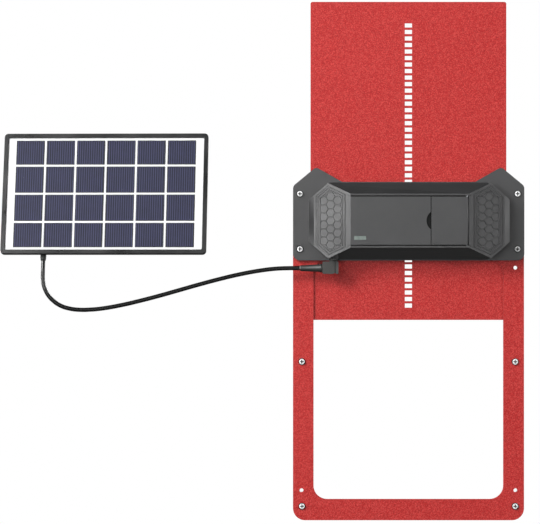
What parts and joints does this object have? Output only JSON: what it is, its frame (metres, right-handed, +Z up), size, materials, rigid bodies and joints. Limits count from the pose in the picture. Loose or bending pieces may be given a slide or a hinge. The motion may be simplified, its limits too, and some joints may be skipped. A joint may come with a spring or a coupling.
{
  "type": "automatic coop door",
  "caption": "Wall-mounted poultry doorway frame with a rack-driven vertical sliding door, a drive housing across its top and a solar panel on a lead.",
  "frame": {"origin": "middle of the sill, on the flat back face that lies against the coop wall", "axes": "+Z up along the door travel, -Y out of the wall towards the front, +X to the right seen from the front"},
  "size_m": [0.6082, 0.0723, 0.6061],
  "materials": {
    "red_coat": "satin",
    "bare_aluminium": "satin",
    "chrome_screw": "polished",
    "steel": "satin",
    "brass": "satin",
    "grey_housing": "matte",
    "dark_plastic": "satin",
    "white_plastic": "satin",
    "black_rubber": "matte",
    "lens": "gloss",
    "board_green": "satin",
    "battery_wrap": "gloss",
    "cell_sheet": "gloss",
    "panel_film": "gloss"
  },
  "bodies": {
    "fixed_assembly": {"front_frame": "red_coat", "back_frame": "red_coat", "left_rail": "bare_aluminium", "right_rail": "bare_aluminium", "bottom_rail": "bare_aluminium", "frame_screw_1": "chrome_screw", "frame_screw_2": "chrome_screw", "frame_screw_3": "chrome_screw", "frame_screw_4": "chrome_screw", "housing_base": "dark_plastic", "housing_gasket": "black_rubber", "housing_cover": "grey_housing", "housing_screw_1": "chrome_screw", "housing_screw_2": "chrome_screw", "housing_screw_3": "chrome_screw", "housing_screw_4": "chrome_screw", "left_badge": "grey_housing", "right_badge": "grey_housing", "flap_hinge_pin": "steel", "close_switch": "dark_plastic", "mode_switch": "dark_plastic", "open_switch": "dark_plastic", "power_switch": "dark_plastic", "control_board": "board_green", "control_chip": "dark_plastic", "sensor_window": "lens", "sensor_board": "board_green", "light_sensor": "brass", "status_led": "lens", "left_bush": "brass", "right_bush": "brass", "gearbox": "steel", "motor": "bare_aluminium", "motor_bracket": "bare_aluminium", "battery_cell": "battery_wrap", "battery_holder": "dark_plastic", "dc_socket": "dark_plastic", "plug_barrel": "chrome_screw", "plug_body": "dark_plastic", "plug_strain_relief": "black_rubber", "panel_lead": "black_rubber", "panel_rim": "dark_plastic", "panel_film": "panel_film", "panel_cells": "cell_sheet", "panel_tray": "dark_plastic", "junction_box": "dark_plastic", "bracket_insert": "brass", "lead_gland": "black_rubber"},
    "door": {"sliding_door": "red_coat"},
    "pinion_set": {"drive_pinion": "white_plastic", "driven_gear": "white_plastic", "pinion_shaft": "steel"},
    "motor_output": {"motor_gear": "brass", "motor_shaft": "steel"},
    "flap": {"control_flap": "grey_housing", "flap_seal": "black_rubber"},
    "close_key": {"close_button": "black_rubber"},
    "mode_key": {"mode_button": "black_rubber"},
    "open_key": {"open_button": "black_rubber"},
    "power_key": {"power_slider": "white_plastic"}
  },
  "joints": [
    {"name": "door_slide", "type": "slide", "parent": "fixed_assembly", "child": "door", "axis": [0, 0, 1], "range_m": [-0.2176, 0.0704]},
    {"name": "pinion_turn", "type": "hinge", "parent": "fixed_assembly", "child": "pinion_set", "pos_m": [0, -0.02043, 0.3375], "axis": [1, 0, 0], "range_deg": [-735, 238.5]},
    {"name": "motor_turn", "type": "hinge", "parent": "fixed_assembly", "child": "motor_output", "pos_m": [-0.01, -0.02363, 0.3208], "axis": [1, 0, 0], "range_deg": [-318, 980]},
    {"name": "flap_hinge", "type": "hinge", "parent": "fixed_assembly", "child": "flap", "pos_m": [0.0667, -0.04233, 0.3375], "axis": [0, 0, 1], "range_deg": [0, 90]},
    {"name": "close_press", "type": "slide", "parent": "fixed_assembly", "child": "close_key", "axis": [0, 1, 0], "range_m": [0, 0.0006], "stiffness_N_per_m": 400},
    {"name": "mode_press", "type": "slide", "parent": "fixed_assembly", "child": "mode_key", "axis": [0, 1, 0], "range_m": [0, 0.0006], "stiffness_N_per_m": 400},
    {"name": "open_press", "type": "slide", "parent": "fixed_assembly", "child": "open_key", "axis": [0, 1, 0], "range_m": [0, 0.0006], "stiffness_N_per_m": 400},
    {"name": "power_slide", "type": "slide", "parent": "fixed_assembly", "child": "power_key", "axis": [0, 0, 1], "range_m": [0, 0.004]}
  ],
  "couplings": [
    {"joint": "pinion_turn", "follows": "door_slide", "rad_per_m": 58.898},
    {"joint": "motor_turn", "follows": "door_slide", "rad_per_m": -78.53}
  ]
}
